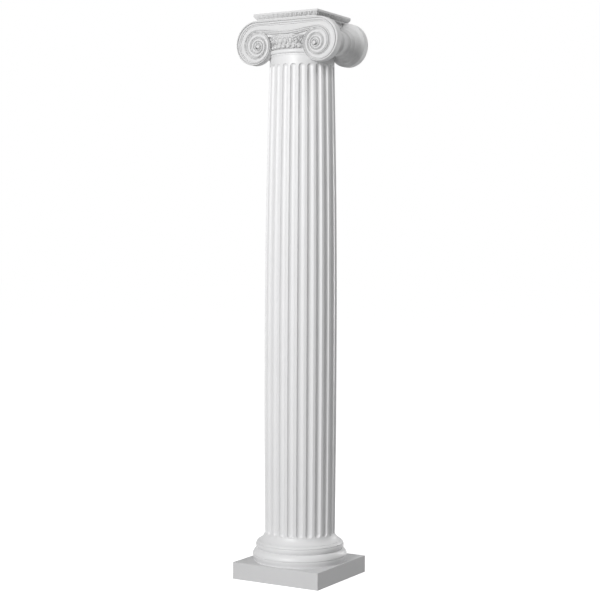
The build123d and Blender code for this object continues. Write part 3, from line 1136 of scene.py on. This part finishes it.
def tongue_depth(along, up, settings):
    """Depth of the carving round a tongue; along runs from -0.5 to 0.5, up from the lip to the band."""
    width = TONGUE_HALF * sqrt(max(0.0, 1 - (max(0.0, TONGUE_ROUND - up) / TONGUE_ROUND) ** 2))
    outline = exp(-(((abs(along) - width) / OUTLINE_WIDTH) ** 2))
    rib = MIDRIB_DEPTH * exp(-((along / MIDRIB_WIDTH) ** 2)) * float(smooth_step((width - 0.15) / 0.1))
    between = float(smooth_step((abs(along) - width - 0.02) / 0.06) * smooth_step((0.5 - up) / 0.1))
    ends = float(smooth_step(up / 0.06) * smooth_step((1 - up) / 0.06))
    return settings.groove * ends * max(outline, rib, between)


def slab_columns(settings, bore):
    """Points of the slab's columns, with tongues carved along its leaning edge."""
    low = column_top - settings.height
    lip = low + settings.lip
    band = column_top - settings.band
    half_width = settings.width / 2 - settings.overhang
    half_depth = settings.depth / 2 - settings.overhang
    columns = []
    for u, v, sideways in square_path(half_width, half_depth, CARVED_STEP):
        half = half_depth if sideways else half_width
        place = (v if sideways else u) * half
        count = round(2 * half / settings.tongue)
        along = (place / (2 * half) * count + 0.5 * (count % 2 == 0) + 0.5) % 1 - 0.5
        corner = min(1.0, (half - abs(place)) / CORNER_PLAIN)
        section = [(bore, low, True), (0.0, low, False), (0.0, lip, False)]
        for step in np.linspace(0, 1, 15)[1:-1]:
            lean = settings.overhang * sin(step * pi / 2) ** 0.9
            carved = tongue_depth(along, step, settings) * corner
            section.append((lean - carved, lip + (band - lip) * step, False))
        section += [(settings.overhang, band, False), (settings.overhang, column_top - SLAB_BEVEL, False)]
        section += [(settings.overhang - SLAB_BEVEL, column_top, False), (bore, column_top, True)]
        bearing = atan2(v * half_depth, u * half_width)
        column = []
        for out, z, inside in section:
            if inside:
                column.append((bore * cos(bearing), bore * sin(bearing), z))
            else:
                column.append((u * (half_width + out), v * (half_depth + out), z))
        columns.append(column)
    return np.array(columns)


def block_columns(half_width, half_depth, foot, head, bore):
    """Points of the plain block between the scrolls."""
    columns = []
    for u, v, _ in square_path(half_width, half_depth, BLOCK_STEP):
        x, y = u * half_width, v * half_depth
        bearing = atan2(y, x)
        inner = (bore * cos(bearing), bore * sin(bearing))
        columns.append([(*inner, foot), (x, y, foot), (x, y, head), (*inner, head)])
    return np.array(columns)


class COLUMN_OT_carve_slab(bpy.types.Operator):
    """Carve the slab on top of the capital and set the block under it"""

    bl_idname = "column.carve_slab"
    bl_label = "Carve slab"

    def execute(self, context):
        settings = context.scene.column_slab
        shaft = context.scene.column_shaft
        scroll = context.scene.column_scroll
        bell = context.scene.column_bell
        bore = shaft.neck_radius - shaft.wall
        slab = Carving()
        open_ring(slab, slab_columns(settings, bore))
        slab.build_cast("carved_slab")
        foot = shaft_top + bell.foot_height + 2 * bell.bead_radius + bell.height - BLOCK_OVERLAP
        head = column_top - settings.height
        half_depth = scroll.face_depth - BLOCK_BACK * scroll.relief
        block = Carving()
        open_ring(block, block_columns(scroll.eye_spread / 2, half_depth, foot, head, bore))
        block.build_cast("block")
        return {"FINISHED"}


# Stage

# Points that the lamps are aimed at: the middle of the column and its capital
COLUMN_AIM = (0, 0, 1.2)
CAPITAL_AIM = (0.2, 0, 2.3)

# Half the width of the floor
FLOOR_REACH = 40.0


def area_lamp(name, place, aim, size, power):
    """A soft oblong lamp at a place, aimed at a point."""
    data = bpy.data.lights.new(name, "AREA")
    data.shape = "RECTANGLE"
    data.size, data.size_y = size
    data.energy = power
    lamp = bpy.data.objects.new(name, data)
    bpy.context.scene.collection.objects.link(lamp)
    lamp.location = place
    lamp.rotation_euler = (Vector(aim) - Vector(place)).to_track_quat("-Z", "Y").to_euler()


def seen_only(nodes, links, strength):
    """White light of a strength that only the camera, mirrors and glass see."""
    path = nodes.new("ShaderNodeLightPath")
    seen = path.outputs["Is Camera Ray"]
    for ray in ("Is Glossy Ray", "Is Transmission Ray"):
        either = nodes.new("ShaderNodeMath")
        either.operation = "MAXIMUM"
        links.new(seen, either.inputs[0])
        links.new(path.outputs[ray], either.inputs[1])
        seen = either.outputs[0]
    level = nodes.new("ShaderNodeMath")
    level.operation = "MULTIPLY"
    links.new(seen, level.inputs[0])
    level.inputs[1].default_value = strength
    return level.outputs[0]


def add_to_lit(nodes, links, lit, glow, level):
    """The lit shader with a glow of the given level added to it."""
    links.new(level, glow.inputs["Strength"])
    both = nodes.new("ShaderNodeAddShader")
    links.new(lit.outputs[0], both.inputs[0])
    links.new(glow.outputs[0], both.inputs[1])
    return both.outputs[0]


class COLUMN_OT_set_stage(bpy.types.Operator):
    """Set the camera, the floor and the soft lamps"""

    bl_idname = "column.set_stage"
    bl_label = "Set stage"

    def execute(self, context):
        scene = context.scene
        settings = scene.column_stage
        self.set_camera(scene, settings)
        self.set_floor(scene, settings)
        self.set_world(scene, settings)
        area_lamp("key_lamp", (-0.1, -6.0, 3.4), COLUMN_AIM, (1.9, 2.4), settings.key_power)
        area_lamp("rim_lamp", (1.2, 3.9, 1.4), COLUMN_AIM, (1.0, 2.0), settings.rim_power)
        area_lamp("top_lamp", (1.7, 0.4, 4.1), CAPITAL_AIM, (0.8, 0.8), settings.top_power)
        scene.view_settings.view_transform = "Standard"
        return {"FINISHED"}

    def set_camera(self, scene, settings):
        """Put the camera where the photograph was taken from."""
        data = bpy.data.cameras.new("camera")
        data.lens = settings.lens
        data.sensor_width = 36.0
        camera = bpy.data.objects.new("camera", data)
        scene.collection.objects.link(camera)
        ahead = Vector((
            -sin(settings.turn) * cos(settings.pitch),
            cos(settings.turn) * cos(settings.pitch),
            sin(settings.pitch),
        ))
        right = ahead.cross(Vector((0, 0, 1))).normalized()
        up = right.cross(ahead)
        side = right * cos(settings.roll) + up * sin(settings.roll)
        top = up * cos(settings.roll) - right * sin(settings.roll)
        place = Vector((
            settings.distance * sin(settings.bearing),
            -settings.distance * cos(settings.bearing),
            settings.height,
        ))
        turn = Matrix((side, top, -ahead)).transposed().to_4x4()
        camera.matrix_world = Matrix.Translation(place) @ turn
        scene.camera = camera

    def set_floor(self, scene, settings):
        """Lay a wide floor that shows white round the column's shadow."""
        mesh = bpy.data.meshes.new("floor")
        corners = [(x * FLOOR_REACH, y * FLOOR_REACH, 0) for x, y in ((-1, -1), (1, -1), (1, 1), (-1, 1))]
        mesh.from_pydata(corners, [], [(0, 1, 2, 3)])
        floor = bpy.data.objects.new("floor", mesh)
        scene.collection.objects.link(floor)
        material = bpy.data.materials.new("pale_floor")
        material.use_nodes = True
        nodes = material.node_tree.nodes
        links = material.node_tree.links
        nodes.remove(nodes["Principled BSDF"])
        lit = nodes.new("ShaderNodeBsdfDiffuse")
        lit.inputs["Color"].default_value = (*settings.floor, 1)
        glow = nodes.new("ShaderNodeEmission")
        level = seen_only(nodes, links, 1 - settings.floor[0] * settings.sky)
        links.new(add_to_lit(nodes, links, lit, glow, level), nodes["Material Output"].inputs["Surface"])
        mesh.materials.append(material)

    def set_world(self, scene, settings):
        """Even light from all round, with a white background for the camera."""
        world = bpy.data.worlds.new("studio")
        scene.world = world
        world.use_nodes = True
        nodes = world.node_tree.nodes
        links = world.node_tree.links
        lit = nodes["Background"]
        lit.inputs["Color"].default_value = (1, 1, 1, 1)
        lit.inputs["Strength"].default_value = settings.sky
        glow = nodes.new("ShaderNodeBackground")
        glow.inputs["Color"].default_value = (1, 1, 1, 1)
        level = seen_only(nodes, links, 1 - settings.sky)
        links.new(add_to_lit(nodes, links, lit, glow, level), nodes["World Output"].inputs["Surface"])


# Panel and registration

OPERATORS = (
    COLUMN_OT_set_stage,
    COLUMN_OT_finish_plinth,
    COLUMN_OT_turn_base,
    COLUMN_OT_flute_shaft,
    COLUMN_OT_carve_scrolls,
    COLUMN_OT_turn_sides,
    COLUMN_OT_carve_bell,
    COLUMN_OT_carve_slab,
)

GROUPS = {
    "column_base": BaseSettings,
    "column_shaft": ShaftSettings,
    "column_scroll": ScrollSettings,
    "column_bell": BellSettings,
    "column_slab": SlabSettings,
    "column_finish": FinishSettings,
    "column_stage": StageSettings,
}


class COLUMN_PT_pieces(bpy.types.Panel):
    """The column's settings and the steps that build it"""

    bl_label = "Ionic column"
    bl_idname = "COLUMN_PT_pieces"
    bl_space_type = "VIEW_3D"
    bl_region_type = "UI"
    bl_category = "Column"

    def draw(self, context):
        for operator in OPERATORS:
            self.layout.operator(operator.bl_idname)
        for group in GROUPS:
            box = self.layout.box()
            settings = getattr(context.scene, group)
            for name in settings.__annotations__:
                box.prop(settings, name)


def register():
    """Make the settings, the steps and the panel known."""
    for group in GROUPS.values():
        bpy.utils.register_class(group)
    for name, group in GROUPS.items():
        setattr(bpy.types.Scene, name, bpy.props.PointerProperty(type=group))
    for operator in OPERATORS:
        bpy.utils.register_class(operator)
    bpy.utils.register_class(COLUMN_PT_pieces)


def unregister():
    """Take them away again."""
    bpy.utils.unregister_class(COLUMN_PT_pieces)
    for operator in reversed(OPERATORS):
        bpy.utils.unregister_class(operator)
    for name, group in GROUPS.items():
        delattr(bpy.types.Scene, name)
        bpy.utils.unregister_class(group)


def main():
    """Build the whole column."""
    register()
    for operator in OPERATORS:
        group, name = operator.bl_idname.split(".")
        getattr(getattr(bpy.ops, group), name)()


if __name__ == "__main__":
    main()
